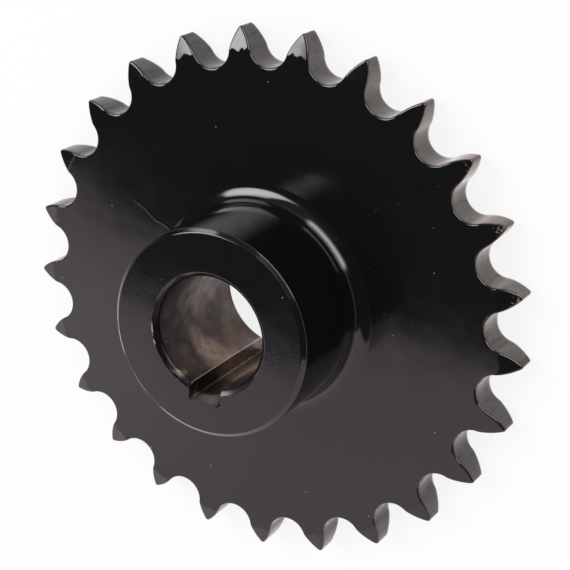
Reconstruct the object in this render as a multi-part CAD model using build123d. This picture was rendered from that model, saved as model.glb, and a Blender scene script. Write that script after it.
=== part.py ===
from build123d import *

# A roller chain sprocket with its hub on one side: one piece of steel, turned, bored,
# toothed and broached. It lies on its flat back: the bore runs up +Z, the origin is on
# the bore's axis in the back face, and the keyway is on the -Y side. Millimetres.

import os
from math import cos, pi, radians, sin, sqrt

# --- The chain that it drives ---
PITCH = 15.875               # 5/8 inch
ROLLER_DIAMETER = 10.16

# --- Toothed plate ---
TEETH = 25
PLATE_THICKNESS = 9.1
TIP_DIAMETER = 134.2
SEAT_CLEARANCE = 0.16        # how far the seat's radius exceeds the roller's
SEAT_HALF_ANGLE = 67.4       # the seat's arc to each side of the gap's middle, degrees
FLANK_LENGTH = 1.0           # the straight run from the seat to the topping curve
TOPPING_RADIUS = 13.0        # the convex curve from the flank to the tip
SIDE_BEVEL_RADIAL = 4.8      # turned on both sides of the teeth, to let the chain on
SIDE_BEVEL_AXIAL = 1.6
TOOTH_PHASE = 4.7            # from a gap's middle to the keyway's middle, degrees

# --- Hub ---
HUB_DIAMETER = 51.5
HUB_PROJECTION = 27.0        # from the plate's front to the hub's face
HUB_CHAMFER = 1.0
HUB_FOOT_RADIUS = 4.0        # the cove between the plate and the hub

# --- Bore and keyway ---
BORE_DIAMETER = 28.0
BORE_CHAMFER = 1.3
KEYWAY_WIDTH = 8.0
KEYWAY_DEPTH = 3.3           # from the bore's wall, on the keyway's middle line
KEYWAY_EDGE_BREAK = 0.3      # filed off the keyway's walls at both end faces

# --- Worked out from the sizes above ---
PITCH_RADIUS = PITCH / 2 / sin(pi / TEETH)
TIP_RADIUS = TIP_DIAMETER / 2
SEAT_RADIUS = ROLLER_DIAMETER / 2 + SEAT_CLEARANCE
HUB_RADIUS = HUB_DIAMETER / 2
BORE_RADIUS = BORE_DIAMETER / 2
HUB_FACE = PLATE_THICKNESS + HUB_PROJECTION


def turned_blank():
    """The blank off the lathe: plate, bevels, foot cove, hub and chamfered bore."""
    bevel_start = TIP_RADIUS - SIDE_BEVEL_RADIAL
    mouth = BORE_RADIUS + BORE_CHAMFER
    with BuildPart() as blank:
        with BuildSketch(Plane.XZ) as section:
            with BuildLine():
                Polyline(
                    (mouth, 0),
                    (bevel_start, 0),
                    (TIP_RADIUS, SIDE_BEVEL_AXIAL),
                    (TIP_RADIUS, PLATE_THICKNESS - SIDE_BEVEL_AXIAL),
                    (bevel_start, PLATE_THICKNESS),
                    (HUB_RADIUS, PLATE_THICKNESS),
                    (HUB_RADIUS, HUB_FACE - HUB_CHAMFER),
                    (HUB_RADIUS - HUB_CHAMFER, HUB_FACE),
                    (mouth, HUB_FACE),
                    (BORE_RADIUS, HUB_FACE - BORE_CHAMFER),
                    (BORE_RADIUS, BORE_CHAMFER),
                    close=True,
                )
            make_face()
            foot = section.vertices().sort_by_distance((HUB_RADIUS, PLATE_THICKNESS))
            fillet(foot[0], HUB_FOOT_RADIUS)
        revolve(axis=Axis.Z)
    return blank.part


def keyway():
    """The broached slot, along the whole bore."""
    depth = BORE_RADIUS + KEYWAY_DEPTH
    return Box(KEYWAY_WIDTH, depth, HUB_FACE, align=(Align.CENTER, Align.MAX, Align.MIN))


def break_keyway_edges(blank):
    """File the mouths of the keyway's two walls, the only edges along Y in the end faces."""
    along_walls = blank.edges().filter_by(Axis.Y)
    ends = [along_walls.filter_by_position(Axis.Z, z, z) for z in (0, HUB_FACE)]
    return chamfer(ends[0] + ends[1], KEYWAY_EDGE_BREAK)


def half_gap(side):
    """Draw one side of a tooth gap, from its bottom out, and return its two ends."""
    half_angle = radians(SEAT_HALF_ANGLE)
    roller = Vector(PITCH_RADIUS, 0)
    outwards = Vector(sin(half_angle), side * cos(half_angle))
    towards_tooth = Vector(-cos(half_angle), side * sin(half_angle))

    def seat_point(angle):
        return roller + Vector(-cos(angle), side * sin(angle)) * SEAT_RADIUS

    flank_start = seat_point(half_angle)
    flank_end = flank_start + outwards * FLANK_LENGTH

    # The topping curve ends on the tooth's middle line, where the two sides of a tooth
    # would meet in a point if the blank were wide enough.
    tooth_middle = Vector(cos(pi / TEETH), side * sin(pi / TEETH))
    curve_middle = flank_end + towards_tooth * TOPPING_RADIUS
    along = tooth_middle.dot(curve_middle)
    beyond = sqrt(along**2 - curve_middle.length**2 + TOPPING_RADIUS**2)
    tooth_point = tooth_middle * (along + beyond)

    ThreePointArc(seat_point(0), seat_point(half_angle / 2), flank_start)
    Line(flank_start, flank_end)
    RadiusArc(flank_end, tooth_point, -side * TOPPING_RADIUS)
    return tooth_point


def tooth_gap():
    """The cutter for one gap, its middle on +X, opening out past the blank's rim."""
    past_rim = TIP_RADIUS + PITCH
    with BuildPart() as cutter:
        with BuildSketch():
            with BuildLine():
                Polyline(
                    half_gap(1),
                    (past_rim, PITCH),
                    (past_rim, -PITCH),
                    half_gap(-1),
                )
            make_face()
        extrude(amount=PLATE_THICKNESS)
    return cutter.part


def sprocket():
    body = break_keyway_edges(turned_blank() - keyway())
    first_gap = -90 - TOOTH_PHASE
    pitch_angle = 360 / TEETH
    gaps = [Rot(Z=first_gap + pitch_angle * n) * tooth_gap() for n in range(TEETH)]
    return body - gaps


os.makedirs("parts", exist_ok=True)
export_step(sprocket(), "parts/sprocket.step")
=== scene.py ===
from math import acos, cos, pi, radians, sin, sqrt

import bpy
import numpy as np
from mathutils import Matrix, Vector, noise


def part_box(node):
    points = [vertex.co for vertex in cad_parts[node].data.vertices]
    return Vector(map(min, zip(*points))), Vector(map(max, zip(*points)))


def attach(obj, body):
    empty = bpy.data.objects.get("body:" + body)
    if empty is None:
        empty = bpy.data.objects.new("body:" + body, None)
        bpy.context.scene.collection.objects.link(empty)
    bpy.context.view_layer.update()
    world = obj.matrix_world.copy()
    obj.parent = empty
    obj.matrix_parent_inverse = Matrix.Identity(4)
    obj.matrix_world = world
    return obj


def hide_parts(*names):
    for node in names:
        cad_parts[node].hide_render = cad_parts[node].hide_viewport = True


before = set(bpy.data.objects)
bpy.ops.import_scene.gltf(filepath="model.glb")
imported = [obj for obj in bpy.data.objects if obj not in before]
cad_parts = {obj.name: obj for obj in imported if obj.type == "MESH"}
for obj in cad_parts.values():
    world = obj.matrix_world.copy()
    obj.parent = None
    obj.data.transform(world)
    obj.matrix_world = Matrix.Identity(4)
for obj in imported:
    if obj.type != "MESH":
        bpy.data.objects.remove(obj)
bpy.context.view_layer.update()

# The looks of a chain sprocket that lies on its back: gloss black paint on the toothed plate
# and the hub, bare oily steel in the bore and its keyway. Sizes are in millimetres, in the
# CAD part's frame, and become metres when a mesh or a lamp is placed.
MM = 0.001
UP = Vector((0, 0, 1))

# --- The sprocket, as in the CAD part ---
PITCH = 15.875
ROLLER_DIAMETER = 10.16
TEETH = 25
PLATE_THICKNESS = 9.1
TIP_RADIUS = 67.1
SEAT_CLEARANCE = 0.16
SEAT_HALF_ANGLE = radians(67.4)
FLANK_LENGTH = 1.0
TOPPING_RADIUS = 13.0
SIDE_BEVEL_RADIAL = 4.8
SIDE_BEVEL_AXIAL = 1.6
TOOTH_PHASE = radians(4.7)
HUB_RADIUS = 25.75
HUB_CHAMFER = 1.0
HUB_FOOT_RADIUS = 4.0
BORE_RADIUS = 14.0
BORE_CHAMFER = 1.3
KEYWAY_WIDTH = 8.0
KEYWAY_DEPTH = 3.3
KEYWAY_EDGE_BREAK = 0.3
HUB_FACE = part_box("sprocket")[1][2] / MM

PITCH_RADIUS = PITCH / 2 / sin(pi / TEETH)
SEAT_RADIUS = ROLLER_DIAMETER / 2 + SEAT_CLEARANCE
BEVEL_START = TIP_RADIUS - SIDE_BEVEL_RADIAL
BEVEL_SLOPE = SIDE_BEVEL_AXIAL / SIDE_BEVEL_RADIAL
FIRST_TOOTH = -pi / 2 - TOOTH_PHASE + pi / TEETH
GULLET_END = PITCH_RADIUS - SEAT_RADIUS * cos(SEAT_HALF_ANGLE)
MOUTH_RADIUS = BORE_RADIUS + BORE_CHAMFER
PLATE_INSIDE = PITCH_RADIUS - 10           # the rings of the plate's middle end here

# --- The coat of paint ---
PAINT_THICKNESS = 0.1        # in the gaps between the teeth
TOOTH_PAINT = 0.17           # on the sides of the teeth
TOOTH_PAINT_FADE = 1.5       # how far out of the gaps the thickness changes from one to the other
TIP_BUILD = 0.25             # how far the paint stands on the tips
TIP_LEAN = 0.26              # how much more of it there is on the side at this azimuth
TIP_LEAN_AZIMUTH = radians(36)
PAINT_ROUND = 0.45           # radius over the plate's edges
TIP_ROUND = 0.2              # blur of the outline at the tips' corners
TIP_ROUND_FADE = 2.0         # how far past the bevel's start the blur is full
TIP_NARROWING = 0.6          # share of a tip's width that its rounded edges take
TIP_NARROWS = (2.2, 0.4)     # from and to this far inside the tip circle
EDGE_SUPPORT = 0.12          # a narrow flat strip beside each rounding, so that flats shade flat
HUB_EDGE_ROUND = 0.4
BEVEL_SOFTNESS = 0.12        # of the bend where the teeth's side bevel starts
WALL_BULGE = 0.04            # unevenness of the teeth's upright sides
WALL_WAVES = 3.0             # the length of its waves
WALL_SEED = 3.0

# --- The bore's worn mouths and the keyway ---
KEYWAY_BEND = 0.3            # the round corners of the keyway's floor
MOUTH_BULGE = 0.35           # how round the worn chamfer is: 0 is flat, 1 a quarter circle
CHAMFER_LENGTH = BORE_CHAMFER * 1.2        # along its worn surface
PAINT_BORDER = 0.4           # from the chamfer's outer edge to the end of the paint, along it
KEYWAY_PAINT = 0.9           # the same in the keyway
KEYWAY_PAINT_START = MOUTH_RADIUS + 0.5
PAINT_BORDER_VARIES = 0.9    # how far that end wanders
PAINT_BORDER_WAVES = 3.2     # the length of its waves
PAINT_BORDER_SEED = 21.0
PAINT_BORDER_FADE = 0.6
BARE_CHAMFER = (-76, -50)    # where the chamfers have lost their paint, degrees
BARE_CHAMFER_FADE = 4
BARE_CHAMFER_GAIN = 1.5      # how much barer than elsewhere they are there
COLLAR = 0.08                # a narrow painted ring round the mouth

# --- The mesh's fineness ---
FINE_STEPS = 400             # of each curve of the outline, before it is cut into edges
FINE_LAND_STEPS = 60
BLUR_STEPS = 8               # to the blur's radius
BLUR_REACH = 4 * BLUR_STEPS
SEAT_STEPS = 14
LOW_FLANK_STEPS = 4
HIGH_FLANK_STEPS = 5
TOPPING_STEPS = 11
LAND_STEPS = 12              # across a tooth, and so also per tooth round the plate and the hub
LAND_HALF = 0.42             # the outline's length from a tip's corner to the tooth's middle
TEETH_ROWS_START = 2.0       # how far inside the gaps' bottoms the rows across a tooth start
WALL_STEPS = 8
ROUND_STEPS = 5
TURNED_STEPS = 8
AROUND = TEETH * LAND_STEPS  # points of each ring inside the teeth
KEYWAY_WALL_STEPS = 5
KEYWAY_BEND_STEPS = 3
KEYWAY_FLOOR_STEPS = 10
KEYWAY_SPREAD = 2            # steps on each side of the keyway that even out the bore's ring
MOUTH_STEPS = 6
MOUTH_SUPPORTS = (0.3, 0.7, 1.2, 2.0)      # rings this far behind the chamfer
BORE_STEPS = 8
HUB_FACE_START = 3.0         # how far outside the mouth the hub face's first ring is
SHARP_ANGLE = radians(38)

# --- The camera, as fitted to the object's outline ---
VIEW_AIM = (5.73, 5.48, 9.1)
VIEW_AZIMUTH = radians(39.99)
VIEW_ELEVATION = radians(56.256)
VIEW_ROLL = radians(121.33)
VIEW_DISTANCE = 443.33
VIEW_NEAREST = 10
LENS = 114.92
SENSOR = 36.0


def direction(azimuth, elevation=0.0):
    """The unit vector that points to this azimuth, from +X towards +Y, and elevation."""
    flat = cos(elevation)
    return Vector((flat * cos(azimuth), flat * sin(azimuth), sin(elevation)))


def new_object(name, data):
    made = bpy.data.objects.new(name, data)
    bpy.context.collection.objects.link(made)
    return made


# ----------------------------------------------------------------------------- camera

def make_camera():
    back = direction(VIEW_AZIMUTH, VIEW_ELEVATION)
    right = UP.cross(back).normalized()
    level_up = back.cross(right)
    up = level_up * cos(VIEW_ROLL) + right * sin(VIEW_ROLL)
    place = Matrix((up.cross(back), up, back)).transposed().to_4x4()
    place.translation = (Vector(VIEW_AIM) + back * VIEW_DISTANCE) * MM
    data = bpy.data.cameras.new("camera")
    data.lens = LENS
    data.sensor_width = SENSOR
    data.clip_start = VIEW_NEAREST * MM
    camera = new_object("camera", data)
    camera.matrix_world = place
    bpy.context.scene.camera = camera


# ----------------------------------------------------------------------------- nodes

class Nodes:
    """Short ways to add and join shader nodes in one tree. A socket stands for a value."""

    def __init__(self, tree):
        self.tree = tree
        tree.nodes.clear()

    def add(self, kind, inputs=None, **settings):
        node = self.tree.nodes.new(kind)
        for name, value in settings.items():
            setattr(node, name, value)
        for name, value in (inputs or {}).items():
            self.put(node.inputs[name], value)
        return node

    def put(self, socket, value):
        if isinstance(value, bpy.types.NodeSocket):
            self.tree.links.new(value, socket)
        else:
            socket.default_value = value

    def show(self, shader, output="ShaderNodeOutputMaterial"):
        """Makes this node's shader the one that the tree gives."""
        self.add(output, {"Surface": shader.outputs[0]})

    def math(self, operation, a, b=0.0):
        return self.add("ShaderNodeMath", {0: a, 1: b}, operation=operation).outputs[0]

    def product(self, *values):
        whole = values[0]
        for value in values[1:]:
            whole = self.math("MULTIPLY", whole, value)
        return whole

    def total(self, *values):
        whole = values[0]
        for value in values[1:]:
            whole = self.math("ADD", whole, value)
        return whole

    def rest(self, share):
        """1 where the share is 0, and 0 where it is 1."""
        return self.math("SUBTRACT", 1.0, share)

    def vector(self, operation, a, b=(0, 0, 0)):
        node = self.add("ShaderNodeVectorMath", {0: a, 1: b}, operation=operation)
        return node.outputs["Vector"]

    def scaled(self, vector, share):
        node = self.add("ShaderNodeVectorMath", {0: vector, "Scale": share}, operation="SCALE")
        return node.outputs["Vector"]

    def measure(self, operation, a, b=(0, 0, 0)):
        node = self.add("ShaderNodeVectorMath", {0: a, 1: b}, operation=operation)
        return node.outputs["Value"]

    def dot(self, a, b):
        return self.measure("DOT_PRODUCT", a, b)

    def distance(self, a, b):
        return self.measure("DISTANCE", a, b)

    def join(self, x, y):
        """The vector of these two numbers."""
        return self.add("ShaderNodeCombineXYZ", {"X": x, "Y": y}).outputs[0]

    def step(self, value, low, high, start=0.0, end=1.0):
        """A smooth step of value, from start at low to end at high."""
        inputs = {"Value": value, "From Min": low, "From Max": high, "To Min": start, "To Max": end}
        node = self.add("ShaderNodeMapRange", inputs, interpolation_type="SMOOTHSTEP")
        return node.outputs["Result"]

    def beyond(self, length, start, end):
        """0 up to the start, 1 from the end on, both in millimetres."""
        return self.step(length, start * MM, end * MM)

    def within(self, length, start, end):
        """1 up to the start, 0 from the end on, both in millimetres."""
        return self.step(length, start * MM, end * MM, 1.0, 0.0)

    def mix(self, factor, a, b, kind="RGBA"):
        """From a to b by factor. The kind is RGBA for colours, VECTOR or FLOAT."""
        node = self.add("ShaderNodeMix", data_type=kind)
        for name, value in {"Factor": factor, "A": a, "B": b}.items():
            sockets = [s for s in node.inputs if s.name == name and s.enabled]
            self.put(sockets[0], value)
        return [s for s in node.outputs if s.enabled][0]

    def noise(self, where, scale, detail=2.0, roughness=0.5):
        inputs = {"Vector": where, "Scale": scale, "Detail": detail, "Roughness": roughness}
        return self.add("ShaderNodeTexNoise", inputs).outputs[0]


def new_material(name):
    material = bpy.data.materials.new(name)
    material.use_nodes = True
    return material


# ----------------------------------------------------------------------------- light

# What the gloss mirrors. Each shape in this studio is bounded by planes through the sprocket. A
# plane is given by the azimuth towards which it rises most and by its elevation there, in degrees.
DARK_COLOUR = (0.035, 0.035, 0.038, 1)
AMBIENT_COLOUR = (0.72, 0.72, 0.72, 1)     # the even light on everything that is matt
WHITE = (1, 1, 1, 1)

WALL_SIDES = ((142, 90), (28, 90))         # a dim wall between the two soft boxes
WALL_FADE = (45, 70)
WALL_SOFTNESS = 0.1
WALL_COLOUR = (0.2, 0.19, 0.2, 1)

EDGE_SOFTNESS = 0.03
BOX_TOP = (138, 57.7)
BOX_TOP_SOFTNESS = 0.04
BOX_LEFT = (30.6, 80.2)
BOX_RIGHT = (233, 69)
BOX_BOTTOM_FADE = (10.5, 14.5)
BOX_MIDDLE = {"azimuth": 138, "elevation": 40, "reach": 27}
BOX_EDGE_COLOUR = (5.2, 5.1, 5.4, 1)
BOX_MIDDLE_COLOUR = (11.5, 11.3, 11.9, 1)

LOW_BOX_SIDES = ((118, 90), (-13, 90))
LOW_BOX_SOFTNESS = 0.05
LOW_BOX_FADE = (4, 37)
LOW_BOX_COLOUR = (9.6, 9.3, 9.6, 1)

MAIN_LAMP = {"azimuth": 144, "elevation": 50, "distance": 900, "size": 500, "power": 2.2}
SIDE_LAMP = {"azimuth": 40, "elevation": 40, "distance": 900, "size": 400, "power": 0.8}


class Studio(Nodes):
    """The world's nodes, with short ways to cut shapes out of the sky around the sprocket."""

    def __init__(self, tree):
        super().__init__(tree)
        self.ray = self.add("ShaderNodeTexCoord").outputs["Generated"]

    def under(self, plane, softness=EDGE_SOFTNESS):
        """1 for the rays that pass under this plane, 0 for those above it."""
        azimuth, top = (radians(angle) for angle in plane)
        normal = (sin(top) * cos(azimuth), sin(top) * sin(azimuth), -cos(top))
        return self.step(self.dot(self.ray, normal), -softness, softness)

    def over(self, plane):
        return self.rest(self.under(plane))

    def near(self, spot):
        """1 in the middle of this round spot, falling smoothly to 0 at its reach."""
        middle = direction(radians(spot["azimuth"]), radians(spot["elevation"]))
        return self.step(self.dot(self.ray, middle), cos(radians(spot["reach"])), 1.0)

    def rise(self, fade):
        """0 up to the lower of these two elevations, 1 from the higher one on."""
        low, high = (sin(radians(elevation)) for elevation in fade)
        return self.step(self.dot(self.ray, UP), low, high)

    def wall(self):
        sides = [self.under(side, WALL_SOFTNESS) for side in WALL_SIDES]
        return self.product(*sides, self.rest(self.rise(WALL_FADE)))

    def soft_box(self):
        sides = (self.over(BOX_LEFT), self.over(BOX_RIGHT))
        return self.product(self.under(BOX_TOP, BOX_TOP_SOFTNESS), *sides, self.rise(BOX_BOTTOM_FADE))

    def low_box(self):
        sides = [self.under(side, LOW_BOX_SOFTNESS) for side in LOW_BOX_SIDES]
        return self.product(*sides, self.rest(self.rise(LOW_BOX_FADE)))


def make_world():
    """White to the camera, an even light for what is matt, the studio for what is glossy."""
    world = bpy.data.worlds.new("studio")
    world.use_nodes = True
    bpy.context.scene.world = world
    nodes = Studio(world.node_tree)
    studio = nodes.mix(nodes.wall(), DARK_COLOUR, WALL_COLOUR)
    box_colour = nodes.mix(nodes.near(BOX_MIDDLE), BOX_EDGE_COLOUR, BOX_MIDDLE_COLOUR)
    studio = nodes.mix(nodes.soft_box(), studio, box_colour)
    studio = nodes.mix(nodes.low_box(), studio, LOW_BOX_COLOUR)
    path = nodes.add("ShaderNodeLightPath").outputs
    colour = nodes.mix(path["Is Glossy Ray"], AMBIENT_COLOUR, studio)
    colour = nodes.mix(path["Is Camera Ray"], colour, WHITE)
    shader = nodes.add("ShaderNodeBackground", {"Color": colour})
    nodes.show(shader, "ShaderNodeOutputWorld")


def soft_lamp(name, azimuth, elevation, distance, size, power):
    """A square lamp that faces the sprocket. Its own shape is left out of mirrored rays."""
    towards = direction(radians(azimuth), radians(elevation))
    data = bpy.data.lights.new(name, "AREA")
    data.size = size * MM
    data.energy = power
    lamp = new_object(name, data)
    lamp.location = towards * distance * MM
    lamp.rotation_mode = "QUATERNION"
    lamp.rotation_quaternion = towards.to_track_quat("Z", "Y")
    lamp.visible_glossy = False
    lamp.visible_camera = False


def make_lamps():
    soft_lamp("main_lamp", **MAIN_LAMP)
    soft_lamp("side_lamp", **SIDE_LAMP)


# ----------------------------------------------------------------------------- card

# A long white card stands beside the sprocket, its top edge rising as it goes. Only the gloss
# sees it, and its edge is the border between grey and black on the plate and the hub. The top's
# points are given by how far they are along a straight edge, and how high over it.
CARD_EDGE = (0, -200, 397)                 # a point of that straight edge
CARD_AZIMUTH = radians(-23)                # where it runs, and how steeply it rises
CARD_RISE = radians(22.5)
CARD_TOP = ((-450, 75), (-300, 22), (-262, 0), (-152, 0), (-60, 33), (4500, 33))
CARD_COLOUR = (1.22, 1.06, 1.2, 1)
CARD_EDGE_COLOUR = (0.66, 0.57, 0.64, 1)
CARD_FADE = 28                             # the edge's dimness ends this far down
CARD_GLOW_PLACE = (-187, -121, 205)
CARD_GLOW_REACH = 110
CARD_GLOW_COLOUR = (1.65, 1.45, 1.58, 1)


def make_card():
    along = direction(CARD_AZIMUTH, CARD_RISE)
    top = [Vector(CARD_EDGE) + along * reach + UP * lift for reach, lift in CARD_TOP]
    foot = [Vector((point.x, point.y, 0)) for point in top]
    count = len(top)
    faces = [(n, n + 1, count + n + 1, count + n) for n in range(count - 1)]
    mesh = bpy.data.meshes.new("card")
    mesh.from_pydata([point * MM for point in top + foot], [], faces)
    depth = mesh.attributes.new("depth", "FLOAT", "POINT")
    depth.data.foreach_set("value", [0.0] * count + [point.z for point in top])
    mesh.materials.append(card_material())
    card = new_object("card", mesh)
    card.visible_camera = False
    card.visible_diffuse = False
    card.visible_shadow = False


def card_material():
    """A white that is dimmer along the top edge and brighter round one place."""
    material = new_material("white_card")
    nodes = Nodes(material.node_tree)
    where = nodes.add("ShaderNodeTexCoord").outputs["Object"]
    depth = nodes.add("ShaderNodeAttribute", attribute_name="depth").outputs["Fac"]
    colour = nodes.mix(nodes.step(depth, 0.0, CARD_FADE), CARD_EDGE_COLOUR, CARD_COLOUR)
    offset = nodes.distance(where, Vector(CARD_GLOW_PLACE) * MM)
    glow = nodes.within(offset, 0, CARD_GLOW_REACH)
    colour = nodes.mix(glow, colour, CARD_GLOW_COLOUR)
    nodes.show(nodes.add("ShaderNodeEmission", {"Color": colour}))
    material.cycles.emission_sampling = "NONE"
    return material


# ----------------------------------------------------------------------------- floor

FLOOR_HALF = 3000
FLOOR_LEVEL = -0.02
FLOOR_MATT = 0.16                          # the share of the floor's white that takes the shadow
FLOOR_MIRRORED = (1.15, 1.08, 1.08, 1)     # as the gloss sees it
FLOOR_SIDES = (                            # azimuth, where its colour starts and is full, colour
    (radians(40), (30, 60), (1.3, 1.18, 1.12, 1)),
    (radians(178), (80, 160), (0.3, 0.28, 0.28, 1)))


def make_floor():
    half = FLOOR_HALF
    corners = [(-half, -half), (half, -half), (half, half), (-half, half)]
    mesh = bpy.data.meshes.new("floor")
    mesh.from_pydata([Vector((*corner, FLOOR_LEVEL)) * MM for corner in corners], [], [(0, 1, 2, 3)])
    mesh.materials.append(floor_material())
    floor = new_object("floor", mesh)


def floor_material():
    """Matt white. The camera and the gloss see it brighter, so that it stays a white ground."""
    material = new_material("white_floor")
    nodes = Nodes(material.node_tree)
    path = nodes.add("ShaderNodeLightPath").outputs
    matt = nodes.add("ShaderNodeBsdfDiffuse", {"Color": (FLOOR_MATT, FLOOR_MATT, FLOOR_MATT, 1)})
    lift = nodes.product(path["Is Camera Ray"], 1 - FLOOR_MATT)
    glow = nodes.add("ShaderNodeEmission", {"Color": WHITE, "Strength": lift})
    ground = nodes.add("ShaderNodeAddShader", {0: matt.outputs[0], 1: glow.outputs[0]})
    where = nodes.add("ShaderNodeTexCoord").outputs["Object"]
    colour = FLOOR_MIRRORED
    for azimuth, start_and_end, side_colour in FLOOR_SIDES:
        share = nodes.beyond(nodes.dot(where, direction(azimuth)), *start_and_end)
        colour = nodes.mix(share, colour, side_colour)
    mirrored = nodes.add("ShaderNodeEmission", {"Color": colour})
    shaders = {0: path["Is Glossy Ray"], 1: ground.outputs[0], 2: mirrored.outputs[0]}
    nodes.show(nodes.add("ShaderNodeMixShader", shaders))
    material.cycles.emission_sampling = "NONE"
    return material


# ----------------------------------------------------------------------------- finish

PAINT_COLOUR = (0.0062, 0.006, 0.0066, 1)
PAINT_ROUGHNESS = (0.09, 0.13)
DULL_COLOUR = (0.03, 0.025, 0.023, 1)      # the teeth's flanks, in patches
DUST_COLOUR = (0.3, 0.28, 0.28, 1)
CHIP_COLOUR = (0.15, 0.13, 0.12, 1)
CHIP_ROUGHNESS = 0.3                       # how much rougher than the paint a chip is

STEEL_METALLIC = 0.75
STEEL_ROUGHNESS = (0.3, 0.5)
STEEL_COLOUR = (0.052, 0.037, 0.03, 1)
STEEL_DARK = (0.0135, 0.0085, 0.008, 1)    # the oily end near the bore's front mouth
STEEL_STAIN = (0.012, 0.008, 0.006, 1)
STEEL_STAIN_SHARE = 0.35                   # in the grain
SPECK_AND_EDGE_HIGHLIGHT_COLOUR = (0.4, 0.34, 0.29, 1)          # bright specks, and the painted highlight along the keyway's upper edge
KNOCK_COLOUR = (0.55, 0.53, 0.52, 1)       # fresh knocks on the bore's front edge
STEEL_STAIN_SHEEN_AND_SHADE_PATCHES = (                          # stains, painted sheen and painted shade on the bore: place, reach, colour
    ((-7.3, -11.9, 19.5), 8.0, (0.235, 0.18, 0.13, 1)),
    ((-14.0, 0.6, 14.5), 8.0, (0.115, 0.096, 0.09, 1)),
    ((-12.5, -6.5, 12.0), 5.5, (0.03, 0.021, 0.017, 1)),
    ((-11.9, -7.4, 3.5), 5.0, (0.085, 0.075, 0.07, 1)),
    ((-8.2, -11.3, 7.5), 6.0, (0.1, 0.065, 0.05, 1)),
    ((-3.4, -13.6, 3.5), 4.5, (0.22, 0.155, 0.16, 1)),
    ((1.5, -17.3, 14.0), 12.0, (0.26, 0.18, 0.145, 1)),
    ((-1.5, -17.3, 26.0), 5.5, (0.012, 0.008, 0.006, 1)),
    ((-9.6, -10.2, 31.0), 6.0, (0.05, 0.031, 0.029, 1)),
    ((-8.5, -11.5, 35.6), 2.6, (0.16, 0.14, 0.11, 1)),
    ((-14.6, -2.0, 35.6), 3.4, (0.004, 0.003, 0.003, 1)),
    ((5.6, -14.2, 35.8), 4.5, (0.06, 0.056, 0.054, 1)),
    ((0.0, -17.3, 34.5), 4.5, (0.42, 0.38, 0.32, 1)))
STEEL_PATCH_CORE = 0.25                    # the share of its reach that has the full colour
STEEL_SHIFT = {"Scale": 130, "Detail": 3}  # the noise that shifts all borders on the steel
STEEL_SHIFT_WIDTH = 9

# Noise: its scale per metre, its detail and its roughness.
CHIP_GRAINS = (1500, 3, 0.6)
STREAKS = (900, 3, 0.6)

# Patches: their noise, and the values of it at which a patch starts and is full.
STEEL_GRAIN = (420, 4, 0.6, 0.35, 0.7)
STEEL_STAINS = (550, 4, 0.65, 0.64, 0.7)
STEEL_HAZE = (300, 3, 0.5, 0.3, 0.7)
PAINT_HAZE = (150, 3, 0.5, 0.3, 0.7)
DULL_PATCHES = (260, 4, 0.65, 0.42, 0.68)
CHIP_CLUSTERS = (120, 1, 0.5, 0.3, 0.7)
KNOCK_SPOTS = (480, 2, 0.6, 0.57, 0.6)
BEVEL_PATCHES = (220, 1, 0.5, 0.35, 0.65)

# Wandering lines: their noise, and the width that they wander in.
BARE_WANDERS = (900, 3, 0.5, 1.0)
RUN_WANDERS = (160, 2, 0.5, 5 * MM)
BEND_RUNS = (700, 2, 0.55, 2.6)            # narrow runs of paint in the bevel's bend
BEND_WANDERS = (110, 1, 0.5, 2.6)

# Sparse specks: how many cells to a metre, and their radius.
DUST = (45, 0.18)
FLANK_PITS = (170, 0.22)
BORE_SPECKS = (150, 0.16)
SPECK_CORE = 0.6                           # the share of the radius that is full
SPECKED_CELLS = (0.45, 0.5)                # a cell's random grey has to be above this

# One side of the sprocket: its azimuth, and the cosines from it at which it starts and is full.
STREAKED_SIDE = (radians(25), 0.6, 0.95)
CHIPPED_SIDE = (radians(30), 0.88, 0.96)
KNOCKED_SIDE = (radians(-150), 0.8, 0.95)

# Relief: the scale of its noise per metre, and its depth.
PAINT_WAVES = (55, 0.1)
PAINT_RIPPLE = (420, 0.004)
FACE_GRAIN = (1700, 0.009)
STREAK_DEPTH = 0.06

# Where things start and are full: radii, heights, or the upright part of the normal.
FLANK_RADII = (50, 51)
CHIP_RADII = (BEVEL_START + 0.8, TIP_RADIUS - 0.5)
STEEL_DARK_HEIGHTS = (21, 29)
HUB_FACE_HEIGHTS = (HUB_FACE - 0.3, HUB_FACE - 0.1)
FACING_UP = (0.9, 0.94)
FACING_OUT = (0.3, 0.6)                    # full up to the first, none from the second on

BARE_START = (0.45, 0.55)                  # of the attribute 'bare'
CHIP_START = (0.74, 0.78)                  # of the grains
CHIP_NEAR_TIP = 0.22                       # what the grains gain near the tips
CHIP_CLUSTERED = (-0.1, 0.06)              # what they gain outside and inside the clusters
STREAK_START = (0.5, 0.72)
STREAK_GLINT = (0.45, 0.9)                 # on most flanks, and on the streaked side
STREAK_STRETCH = (1, 1, 0.1)
UNROLLED = (1.0, 0.8, 0)                   # the line in the plate along which flanks are laid out
EDGE_HIGHLIGHT_WIDTH = (0.08, 0.3)                      # the width of the painted highlight along the keyway's edge
KNOCKED = (0.1, 0.28)                      # the width of the bore's knocked edge

RUN_AZIMUTH = radians(155)                 # of the paint's run beside the hub's foot
RUN_START = (29, 31)
RUN_END = (40, 45)
RUN_HALF_WIDTH = 0.7
RUN_DEPTH = 0.011

# The teeth's side bevel as the paint shapes it. Both ranges start from the steel's own bend.
WORN_BEVEL_START = (-3.0, -2.5)
WORN_BEND = (-0.4, 0.6)
WORN_UNEVENNESS = (0.97, 1.03)
CROWN = 1.13                               # how much steeper than the steel it is


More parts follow.
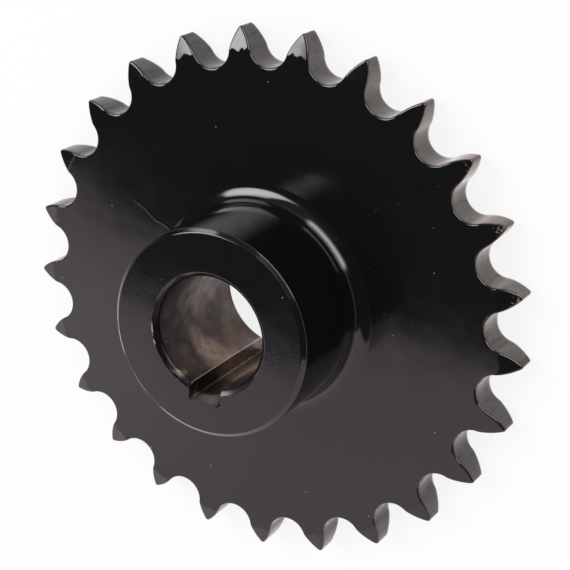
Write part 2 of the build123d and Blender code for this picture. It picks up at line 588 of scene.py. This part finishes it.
class Finish(Nodes):
    """The nodes of the sprocket's material, which all depend on the place on the part."""

    def __init__(self, tree):
        super().__init__(tree)
        self.where = self.add("ShaderNodeTexCoord").outputs["Object"]
        self.height = self.dot(self.where, UP)
        self.flat = self.vector("MULTIPLY", self.where, (1, 1, 0))
        self.outwards = self.vector("NORMALIZE", self.flat)
        self.radius = self.measure("LENGTH", self.flat)
        self.normal = self.add("ShaderNodeNewGeometry").outputs["Normal"]
        self.facing_up = self.step(self.dot(self.normal, UP), *FACING_UP)
        self.flank = self.on_flank()
        self.streaks = self.noise(self.vector("MULTIPLY", self.where, STREAK_STRETCH), *STREAKS)

    def on_flank(self):
        """1 on the upright sides of the teeth."""
        upright = self.step(self.math("ABSOLUTE", self.dot(self.normal, UP)), *FACING_OUT, 1.0, 0.0)
        return self.product(upright, self.beyond(self.radius, *FLANK_RADII))

    def patches(self, kind, start=0.0, end=1.0):
        """From the start between these patches to the end on them."""
        *kind_of_noise, low, high = kind
        return self.step(self.noise(self.where, *kind_of_noise), low, high, start, end)

    def wandering(self, kind, where):
        """A number from minus half to plus half of this line's width."""
        *kind_of_noise, width = kind
        return self.product(self.math("SUBTRACT", self.noise(where, *kind_of_noise), 0.5), width)

    def specks(self, kind, place):
        """1 on sparse dots, at most one in each cell."""
        scale, size = kind
        radius = size * MM * scale
        cells = self.add("ShaderNodeTexVoronoi", {"Vector": place, "Scale": scale},
                         voronoi_dimensions="2D")
        kept = self.step(cells.outputs["Color"], *SPECKED_CELLS)
        dot = self.step(cells.outputs["Distance"], SPECK_CORE * radius, radius, 1.0, 0.0)
        return self.product(dot, kept)

    def side(self, kind):
        """1 on this side of the sprocket, 0 elsewhere."""
        azimuth, start, end = kind
        return self.step(self.dot(self.outwards, direction(azimuth)), start, end)

    def steel(self):
        """Bare oily steel: brown and grey patches with soft borders, partly stains and partly painted
        sheen and shade, more stains, specks and a painted highlight along the keyway's edge.
        """
        shift = self.add("ShaderNodeTexNoise", {"Vector": self.where, **STEEL_SHIFT})
        shift = self.vector("SUBTRACT", shift.outputs["Color"], (0.5, 0.5, 0.5))
        place = self.vector("ADD", self.where, self.scaled(shift, STEEL_SHIFT_WIDTH * MM))
        front = self.beyond(self.dot(place, UP), *STEEL_DARK_HEIGHTS)
        colour = self.mix(front, STEEL_COLOUR, STEEL_DARK)
        # stains, and a sheen and shade painted on the bore's wall
        for middle, reach, patch_colour in STEEL_STAIN_SHEEN_AND_SHADE_PATCHES:
            offset = self.distance(place, Vector(middle) * MM)
            colour = self.mix(self.within(offset, STEEL_PATCH_CORE * reach, reach), colour, patch_colour)
        colour = self.mix(self.patches(STEEL_GRAIN, 0.0, STEEL_STAIN_SHARE), colour, STEEL_STAIN)
        colour = self.mix(self.patches(STEEL_STAINS), colour, STEEL_STAIN)
        on_wall = self.join(self.dot(self.where, (0, 1, 0)), self.height)
        colour = self.mix(self.specks(BORE_SPECKS, on_wall), colour, SPECK_AND_EDGE_HIGHLIGHT_COLOUR)
        # a painted highlight along the keyway's upper edge
        return self.mix(self.painted_edge_highlight(), colour, SPECK_AND_EDGE_HIGHLIGHT_COLOUR)

    def painted_edge_highlight(self):
        """1 along the upper edge of the keyway's -X wall, where a highlight is painted."""
        half = KEYWAY_WIDTH / 2
        edge = Vector((-half, -sqrt(BORE_RADIUS**2 - half**2), 0)) * MM
        return self.within(self.distance(self.flat, edge), *EDGE_HIGHLIGHT_WIDTH)

    def knocks(self):
        """1 on small bright knocks along the bore's front edge, on one side."""
        beside = self.math("SUBTRACT", self.radius, MOUTH_RADIUS * MM)
        below = self.math("SUBTRACT", self.height, HUB_FACE * MM)
        edge = self.within(self.measure("LENGTH", self.join(beside, below)), *KNOCKED)
        return self.product(edge, self.side(KNOCKED_SIDE), self.patches(KNOCK_SPOTS))

    def bare(self, knocks):
        """1 where the steel shows, with a ragged border."""
        share = self.add("ShaderNodeAttribute", attribute_name="bare").outputs["Fac"]
        ragged = self.total(share, self.wandering(BARE_WANDERS, self.where))
        return self.math("MAXIMUM", knocks, self.step(ragged, *BARE_START))

    def chips(self):
        """1 where the paint of some teeth is worn off in grains, near their tips."""
        near_tip = self.beyond(self.radius, *CHIP_RADII)
        grains = self.total(self.noise(self.where, *CHIP_GRAINS), self.product(near_tip, CHIP_NEAR_TIP),
                            self.patches(CHIP_CLUSTERS, *CHIP_CLUSTERED))
        return self.product(self.side(CHIPPED_SIDE), self.step(grains, *CHIP_START))

    def glints(self):
        """1 where a flank glints like metal: on sparse pits and on upright streaks."""
        glint = self.step(self.side(STREAKED_SIDE), 0.0, 1.0, *STREAK_GLINT)
        streaks = self.step(self.streaks, *STREAK_START, 0.0, glint)
        unrolled = self.join(self.dot(self.where, UNROLLED), self.height)
        pits = self.specks(FLANK_PITS, unrolled)
        return self.product(self.math("MAXIMUM", pits, streaks), self.flank)

    def run(self):
        """A thin ridge of paint on the plate, along one azimuth."""
        across = self.dot(self.where, direction(RUN_AZIMUTH + pi / 2))
        across = self.total(across, self.wandering(RUN_WANDERS, self.where))
        along = self.dot(self.where, direction(RUN_AZIMUTH))
        return self.product(self.within(self.math("ABSOLUTE", across), 0, RUN_HALF_WIDTH),
                            self.beyond(along, *RUN_START), self.within(along, *RUN_END))

    def worn_bevel(self):
        """The surface's normal. Runs of thick paint fill the bend of the teeth's side bevel to
        an uneven line."""
        over = self.math("SUBTRACT", self.math("DIVIDE", self.radius, MM), BEVEL_START)
        rim = self.scaled(self.outwards, BEVEL_START * MM)
        shift = self.total(self.wandering(BEND_RUNS, rim), self.wandering(BEND_WANDERS, rim))
        slope = self.step(self.math("SUBTRACT", over, shift), *WORN_BEND, 0.0, BEVEL_SLOPE * CROWN)
        slope = self.product(slope, self.patches(BEVEL_PATCHES, *WORN_UNEVENNESS))
        tilted = self.vector("ADD", self.scaled(self.outwards, slope), UP)
        share = self.product(self.facing_up, self.step(over, *WORN_BEVEL_START))
        return self.vector("NORMALIZE", self.mix(share, self.normal, tilted, "VECTOR"))

    def bump(self, height, depth, normal):
        """The normal after a relief of this depth."""
        inputs = {"Height": height, "Strength": 1.0, "Distance": depth * MM, "Normal": normal}
        return self.add("ShaderNodeBump", inputs).outputs[0]

    def relief(self):
        """The normal with the paint's waves, its run, the flanks' streaks and the face's grain."""
        normal = self.worn_bevel()
        for scale, depth in (PAINT_WAVES, PAINT_RIPPLE):
            normal = self.bump(self.noise(self.where, scale), depth, normal)
        normal = self.bump(self.run(), RUN_DEPTH, normal)
        normal = self.bump(self.product(self.streaks, self.flank), STREAK_DEPTH, normal)
        on_face = self.beyond(self.height, *HUB_FACE_HEIGHTS)
        scale, depth = FACE_GRAIN
        return self.bump(self.product(self.noise(self.where, scale), on_face), depth, normal)


def finish_material():
    """Gloss black paint, and bare oily steel where the attribute 'bare' says so."""
    material = new_material("painted_steel")
    nodes = Finish(material.node_tree)
    chips = nodes.chips()
    knocks = nodes.knocks()
    bare = nodes.bare(knocks)

    dull = nodes.product(nodes.flank, nodes.patches(DULL_PATCHES))
    dust = nodes.product(nodes.facing_up, nodes.specks(DUST, nodes.where))
    colour = nodes.mix(dull, PAINT_COLOUR, DULL_COLOUR)
    colour = nodes.mix(dust, colour, DUST_COLOUR)
    colour = nodes.mix(chips, colour, CHIP_COLOUR)
    colour = nodes.mix(bare, colour, nodes.mix(knocks, nodes.steel(), KNOCK_COLOUR))

    roughness = nodes.patches(PAINT_HAZE, *PAINT_ROUGHNESS)
    roughness = nodes.total(roughness, nodes.product(chips, CHIP_ROUGHNESS))
    roughness = nodes.mix(bare, roughness, nodes.patches(STEEL_HAZE, *STEEL_ROUGHNESS), "FLOAT")
    metallic = nodes.mix(bare, nodes.glints(), STEEL_METALLIC, "FLOAT")

    inputs = {"Base Color": colour, "Roughness": roughness, "Metallic": metallic,
              "Normal": nodes.relief()}
    nodes.show(nodes.add("ShaderNodeBsdfPrincipled", inputs))
    return material


# ----------------------------------------------------------------------------- outline

# Points of the plane are complex numbers here: x + 1j * y.

def unit(angle):
    return np.exp(1j * np.asarray(angle))


def arc(middle, radius, start, end, steps):
    return middle + radius * unit(np.linspace(start, end, steps + 1))


def tooth_side():
    """One side of a tooth as a fine line, from the middle of the gap before it to the tip's
    corner, with the tooth's middle line on +X."""
    seat = arc(PITCH_RADIUS, SEAT_RADIUS, pi, pi - SEAT_HALF_ANGLE, FINE_STEPS)
    along = sin(SEAT_HALF_ANGLE) + 1j * cos(SEAT_HALF_ANGLE)
    flank = seat[-1] + along * np.linspace(0, FLANK_LENGTH, FINE_STEPS)
    middle = flank[-1] - TOPPING_RADIUS * unit(-SEAT_HALF_ANGLE)
    reach = abs(middle)
    turn = (TIP_RADIUS**2 - reach**2 - TOPPING_RADIUS**2) / (2 * reach * TOPPING_RADIUS)
    end = np.angle(middle) - acos(turn)
    topping = arc(middle, TOPPING_RADIUS, -SEAT_HALF_ANGLE, end, FINE_STEPS)
    line = np.concatenate([seat, flank[1:], topping[1:]])
    return line * unit(-pi / TEETH)


def lengths_along(line):
    return np.concatenate([[0], np.cumsum(abs(np.diff(line)))])


def points_at(line, places):
    """The points of a line at these lengths along it."""
    along = lengths_along(line)
    return np.interp(places, along, line.real) + 1j * np.interp(places, along, line.imag)


def blurred(line, step):
    """The line smoothed by a bell curve of radius TIP_ROUND, its points this step apart."""
    reach = np.arange(-BLUR_REACH, BLUR_REACH + 1)
    weights = np.exp(-0.5 * (reach * step / TIP_ROUND) ** 2)
    padded = np.pad(line, BLUR_REACH, mode="edge")
    return np.convolve(padded, weights / weights.sum(), mode="valid")


def whole_tooth():
    """A tooth from gap middle to gap middle, its tip's corners worn round, as a fine line."""
    side = tooth_side()
    half_land = -np.angle(side[-1])
    land = arc(0, TIP_RADIUS, -half_land, half_land, FINE_LAND_STEPS)
    line = np.concatenate([side, land[1:-1], side[::-1].conj()])
    step = TIP_ROUND / BLUR_STEPS
    total = lengths_along(line)[-1]
    line = points_at(line, np.linspace(0, total, int(total / step)))
    near_tip = np.clip((abs(line) - BEVEL_START) / TIP_ROUND_FADE, 0, 1)
    return line + (blurred(line, step) - line) * near_tip


def painted_tooth():
    """The whole tooth's line with its paint."""
    bare = whole_tooth()
    share = np.clip((abs(bare) - GULLET_END) / TOOTH_PAINT_FADE, 0, 1)
    return bare - inward(bare) * (PAINT_THICKNESS + (TOOTH_PAINT - PAINT_THICKNESS) * share)


def tooth_points(fine):
    """The points of a tooth's fine line that the mesh has."""
    along = lengths_along(fine)
    half = along[-1] / 2
    rising = slice(0, len(fine) // 2)
    seat_end = SEAT_RADIUS * SEAT_HALF_ANGLE
    bevel = np.interp(BEVEL_START, abs(fine[rising]), along[rising])
    corner = half - LAND_HALF
    stops = [0, seat_end, bevel, seat_end + FLANK_LENGTH, corner]
    steps = [SEAT_STEPS, LOW_FLANK_STEPS, HIGH_FLANK_STEPS, TOPPING_STEPS]
    places = [0]
    for start, end, count in zip(stops, stops[1:], steps):
        places.extend(np.linspace(start, end, count + 1)[1:])
    land = np.linspace(corner, 2 * half - corner, LAND_STEPS + 1)[1:-1]
    return points_at(fine, np.concatenate([places, land, 2 * half - np.array(places[::-1])]))


def inward(line):
    """Unit vectors that point from a counterclockwise outline into the steel."""
    tangent = np.gradient(line)
    tangent /= abs(tangent)
    tangent[[0, -1]] = unit([pi / 2 - pi / TEETH, pi / 2 + pi / TEETH])
    return tangent * 1j


def inset(line, depth):
    """The outline moved into the steel. At the tip, where the sides would cross, it narrows."""
    plain = line + inward(line) * depth
    narrow = line - depth
    narrow = narrow.real + 1j * line.imag * (1 - TIP_NARROWING * min(1, depth / PAINT_ROUND))
    start, end = TIP_NARROWS
    weight = np.clip((abs(line) - (TIP_RADIUS - start)) / (start - end), 0, 1)
    weight = weight * weight * (3 - 2 * weight)
    return plain * (1 - weight) + narrow * weight


def edge_drop(points, fine):
    """How far the rounded paint lies below the flat, by the distance from the outline."""
    distance = np.array([abs(fine - p).min() for p in points.ravel()]).reshape(points.shape)
    left = PAINT_ROUND - np.minimum(distance, PAINT_ROUND)
    return PAINT_ROUND - np.sqrt(PAINT_ROUND**2 - left**2)


# ----------------------------------------------------------------------------- mesh

class Skin:
    """Gathers the points and faces of the sprocket's one closed surface. Rings run
    counterclockwise, and a strip or patch goes outwards on top, down the rim and inwards
    below, so that all faces look out of the steel."""

    def __init__(self):
        self.points = []
        self.faces = []
        self.bare = []
        self.count = 0

    def add(self, plane, height, bare=0.0):
        """Adds points given as complex numbers with heights, and returns their numbers."""
        plane = np.asarray(plane)
        height = np.broadcast_to(height, plane.shape)
        bare = np.broadcast_to(bare, plane.shape)
        self.points.append(np.stack([plane.real, plane.imag, height], -1).reshape(-1, 3))
        self.bare.append(bare.reshape(-1))
        numbers = np.arange(self.count, self.count + plane.size).reshape(plane.shape)
        self.count += plane.size
        return numbers

    def patch(self, grid):
        a, b = grid[:-1, :-1], grid[1:, :-1]
        c, d = grid[1:, 1:], grid[:-1, 1:]
        self.faces.append(np.stack([a, b, c, d], -1).reshape(-1, 4))

    def rings(self, rings):
        """Joins each ring to the next one."""
        self.patch(np.stack([np.append(ring, ring[0]) for ring in rings]))

    def mesh(self, name):
        mesh = bpy.data.meshes.new(name)
        points = np.concatenate(self.points) * MM
        faces = np.concatenate(self.faces)
        mesh.from_pydata(points.tolist(), [], faces.tolist())
        share = mesh.attributes.new("bare", "FLOAT", "POINT")
        share.data.foreach_set("value", np.concatenate(self.bare))
        mesh.shade_smooth()
        mesh.set_sharp_from_angle(angle=SHARP_ANGLE)
        return mesh


def wobble(points, scale, seed):
    """Smooth noise from -1 to 1 at points in the plane, or in space."""
    points = np.asarray(points)
    if np.iscomplexobj(points):
        points = np.stack([points.real, points.imag, np.zeros(points.shape)], -1)
    flat = (points.reshape(-1, 3) / scale + seed).tolist()
    return np.array([noise.noise(p) for p in flat]).reshape(points.shape[:-1])


# ----------------------------------------------------------------------------- teeth

def bevel_drop(plane):
    """How far the teeth's side bevel lies below the plate's flat."""
    over = abs(plane) - BEVEL_START
    return BEVEL_SLOPE * 0.5 * (over + np.sqrt(over**2 + BEVEL_SOFTNESS**2))


def front_height(plane, drop):
    return PLATE_THICKNESS - bevel_drop(plane) - drop


def back_height(plane, drop):
    return bevel_drop(plane) + drop


def reach_out(plane):
    """Moves the teeth's points outwards by the paint on the tips."""
    share = np.clip((abs(plane) - GULLET_END) / (TIP_RADIUS - GULLET_END), 0, 1)
    build = TIP_BUILD + TIP_LEAN * np.cos(np.angle(plane) - TIP_LEAN_AZIMUTH)
    return plane * (1 + build * share / abs(plane))


def turned(line, tooth):
    return line * unit(FIRST_TOOTH + 2 * pi * tooth / TEETH)


def all_teeth(line):
    """A tooth's line repeated round the rim, as one closed ring."""
    return np.concatenate([turned(line[:-1], tooth) for tooth in range(TEETH)])


def tooth_grid(boundary):
    """Points across a tooth, row by row from the plate to the tip, inside this boundary."""
    rows = (len(boundary) - 1 - LAND_STEPS) // 2
    right = boundary[: rows + 1]
    share = np.linspace(-1, 1, LAND_STEPS + 1)
    base = abs(right[0]) - TEETH_ROWS_START
    grid = np.empty((rows + 1, LAND_STEPS + 1), complex)
    for row in range(rows + 1):
        edge = abs(right[row])
        middle = edge
        if row < SEAT_STEPS:
            middle = base + (abs(right[SEAT_STEPS]) - base) * row / SEAT_STEPS
        across = -right[row].imag * share
        weight = share**2
        radius = edge * weight + middle * (1 - weight)
        grid[row] = np.sqrt(radius**2 - across**2) + 1j * across
    grid[rows] = boundary[rows : rows + LAND_STEPS + 1]
    return grid


def teeth_side(skin, ring, boundary, fine, height):
    """The points of the teeth's front or back, inside this ring. Returns the ring that bounds
    the plate inside the teeth, and each tooth's grid of numbers."""
    grid = tooth_grid(boundary)
    drop = edge_drop(grid, fine)
    rows, columns = grid.shape
    per_tooth = len(boundary) - 1
    inner = []
    patches = []
    for tooth in range(TEETH):
        place = reach_out(turned(grid, tooth))
        numbers = np.empty(grid.shape, int)
        numbers[:-1, 1:-1] = skin.add(place[:-1, 1:-1], height(place[:-1, 1:-1], drop[:-1, 1:-1]))
        start = tooth * per_tooth
        around = ring[(start + np.arange(per_tooth + 1)) % len(ring)]
        numbers[:, 0] = around[:rows]
        numbers[:, -1] = around[::-1][:rows]
        numbers[-1] = around[rows - 1 : rows - 1 + columns]
        patches.append(numbers)
        inner.append(numbers[0, :-1])
    return np.concatenate(inner), patches


def make_teeth(skin):
    """The teeth with their rounded edges. Returns the rings that bound the plate inside them,
    in front and at the back."""
    fine = painted_tooth()
    outline = tooth_points(fine)
    bends = np.linspace(pi / 2, 0, ROUND_STEPS + 1)
    depths = [PAINT_ROUND + EDGE_SUPPORT, *PAINT_ROUND * (1 - np.cos(bends))]
    lines = [inset(outline, depth) for depth in depths]
    drops = [np.tile(edge_drop(line, fine)[:-1], TEETH) for line in lines]
    rings = [reach_out(all_teeth(line)) for line in lines]
    front = [skin.add(ring, front_height(ring, drop)) for ring, drop in zip(rings, drops)]
    back = [skin.add(ring, back_height(ring, drop)) for ring, drop in zip(rings, drops)]

    edge = rings[-1]
    top, bottom = front_height(edge, drops[-1]), back_height(edge, drops[-1])
    normal = -all_teeth(inward(outline))
    wall = []
    for share in np.linspace(1, 0, WALL_STEPS + 1)[1:-1]:
        height = bottom + (top - bottom) * share
        spot = np.stack([edge.real, edge.imag, height], -1)
        bulge = WALL_BULGE * wobble(spot, WALL_WAVES, WALL_SEED)
        wall.append(skin.add(edge + normal * bulge, height))
    skin.rings(front + wall + back[::-1])

    inner_front, patches = teeth_side(skin, front[0], lines[0], fine, front_height)
    for numbers in patches:
        skin.patch(numbers)
    inner_back, patches = teeth_side(skin, back[0], lines[0], fine, back_height)
    for numbers in patches:
        skin.patch(numbers[::-1])
    return inner_front, inner_back


# ----------------------------------------------------------------------------- hub and bore

def rounded(corners, radii):
    """A profile of corners as complex numbers, radius + 1j * height, each but the first and
    the last rounded off by an arc of its radius."""
    line = [corners[0]]
    for before, corner, after, radius in zip(corners, corners[1:], corners[2:], radii):
        u = (before - corner) / abs(before - corner)
        v = (after - corner) / abs(after - corner)
        half = abs(np.angle(v / u)) / 2
        reach = radius / np.tan(half)
        middle = corner + (u + v) / abs(u + v) * radius / sin(half)
        start, end = corner + u * reach, corner + v * reach
        first = np.angle(start - middle)
        sweep = np.angle((end - middle) / (start - middle))
        line.append(start + u * EDGE_SUPPORT)
        line.extend(arc(middle, radius, first, first + sweep, TURNED_STEPS))
        line.append(end + v * EDGE_SUPPORT)
    line.append(corners[-1])
    return line


def turned_front():
    """The lathe's part of the front: hub face, chamfer, hub wall, foot cove and plate."""
    corners = [MOUTH_RADIUS + HUB_FACE_START + 1j * HUB_FACE,
               HUB_RADIUS - HUB_CHAMFER + 1j * HUB_FACE,
               HUB_RADIUS + 1j * (HUB_FACE - HUB_CHAMFER),
               HUB_RADIUS + 1j * PLATE_THICKNESS,
               PLATE_INSIDE + 1j * PLATE_THICKNESS]
    return rounded(corners, [HUB_EDGE_ROUND, HUB_EDGE_ROUND, HUB_FOOT_RADIUS])


def bore_outline(radius, half_width, floor):
    """The bore with its keyway on -Y as a closed ring, with as many points as the plate's
    rings, so that it joins them. Starts at the first tooth's gap, counterclockwise."""
    start = FIRST_TOOTH - pi / TEETH
    turn = 2 * pi / AROUND
    ring = radius * unit(start + turn * np.arange(AROUND))
    count = 2 * (KEYWAY_WALL_STEPS + KEYWAY_BEND_STEPS + KEYWAY_SPREAD) + KEYWAY_FLOOR_STEPS
    middle = int(round((3 * pi / 2 - start) % (2 * pi) / turn))
    first = middle - count // 2
    last = first + count

    corner = -pi / 2 + np.arcsin(half_width / radius)
    mouth = radius * unit(corner)
    inner = half_width - KEYWAY_BEND
    bend_height = floor + KEYWAY_BEND
    into = np.linspace(start + turn * first, -pi - corner, KEYWAY_SPREAD + 1)
    out = np.linspace(corner, start + turn * last, KEYWAY_SPREAD + 1)
    wall = 1j * np.linspace(mouth.imag, bend_height, KEYWAY_WALL_STEPS + 1)
    bend = arc(inner + 1j * bend_height, KEYWAY_BEND, -pi / 2, 0, KEYWAY_BEND_STEPS)
    bottom = np.linspace(-inner, inner, KEYWAY_FLOOR_STEPS + 1) + 1j * floor
    pieces = [radius * unit(into), wall - mouth.real, -bend[::-1].conj(), bottom, bend,
              wall[::-1] + mouth.real, radius * unit(out)]
    ring[np.arange(first, last) % AROUND] = np.concatenate([piece[:-1] for piece in pieces])
    return ring


def bare_share(ring, reach):
    """The bare share of the bore's mouth, at this distance along it from the chamfer's outer
    edge. The paint's border wanders."""
    border = np.where(abs(ring) > KEYWAY_PAINT_START, KEYWAY_PAINT, PAINT_BORDER)
    border = border + PAINT_BORDER_VARIES * wobble(ring, PAINT_BORDER_WAVES, PAINT_BORDER_SEED)
    angle = np.degrees(np.angle(ring))
    start, end = BARE_CHAMFER
    worn = np.clip(np.minimum(angle - start, end - angle) / BARE_CHAMFER_FADE, 0, 1)
    return np.clip(0.5 + (reach - border) / PAINT_BORDER_FADE + BARE_CHAMFER_GAIN * worn, 0, 1)


def bore_rings(skin):
    """The bore's rings, from the one in the back face to the one in the hub's face."""
    half = KEYWAY_WIDTH / 2
    floor = -(BORE_RADIUS + KEYWAY_DEPTH)
    wide = bore_outline(MOUTH_RADIUS, half + KEYWAY_EDGE_BREAK, floor)
    narrow = bore_outline(BORE_RADIUS, half, floor)
    cut = np.minimum(np.maximum(MOUTH_RADIUS - abs(narrow), KEYWAY_EDGE_BREAK), BORE_CHAMFER)
    shapes = []
    for share in np.linspace(0, 1, MOUTH_STEPS + 1):
        bend = 1 - sqrt(1 - share**2)
        depth = cut * (MOUTH_BULGE * bend + (1 - MOUTH_BULGE) * share)
        shapes.append((wide + (narrow - wide) * share, depth, share * CHAMFER_LENGTH))
    for deeper in MOUTH_SUPPORTS:
        shapes.append((narrow, cut + deeper, CHAMFER_LENGTH + deeper))
    back = [skin.add(ring, depth, bare_share(ring, reach)) for ring, depth, reach in shapes]
    last = shapes[-1][1]
    middle = [skin.add(narrow, last + (HUB_FACE - 2 * last) * share, 1.0)
              for share in np.linspace(0, 1, BORE_STEPS + 1)[1:-1]]
    front = [skin.add(ring, HUB_FACE - depth, bare_share(ring, reach))
             for ring, depth, reach in shapes]
    collar = skin.add(wide * (1 + COLLAR / abs(wide)), HUB_FACE)
    return back + middle + front[::-1] + [collar]


def make_sprocket():
    skin = Skin()
    inner_front, inner_back = make_teeth(skin)
    spokes = unit(FIRST_TOOTH - pi / TEETH + 2 * pi * np.arange(AROUND) / AROUND)
    hub = [skin.add(spokes * place.real, place.imag) for place in turned_front()]
    skin.rings(hub + [inner_front])
    back = skin.add(spokes * PLATE_INSIDE, 0.0)
    skin.rings([inner_back, back] + bore_rings(skin) + [hub[0]])

    mesh = skin.mesh("sprocket_body")
    mesh.materials.append(finish_material())
    body = new_object("sprocket_body", mesh)
    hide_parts("sprocket")
    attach(body, "root")


bpy.context.scene.view_settings.view_transform = "Standard"
make_camera()
make_world()
make_lamps()
make_card()
make_floor()
make_sprocket()
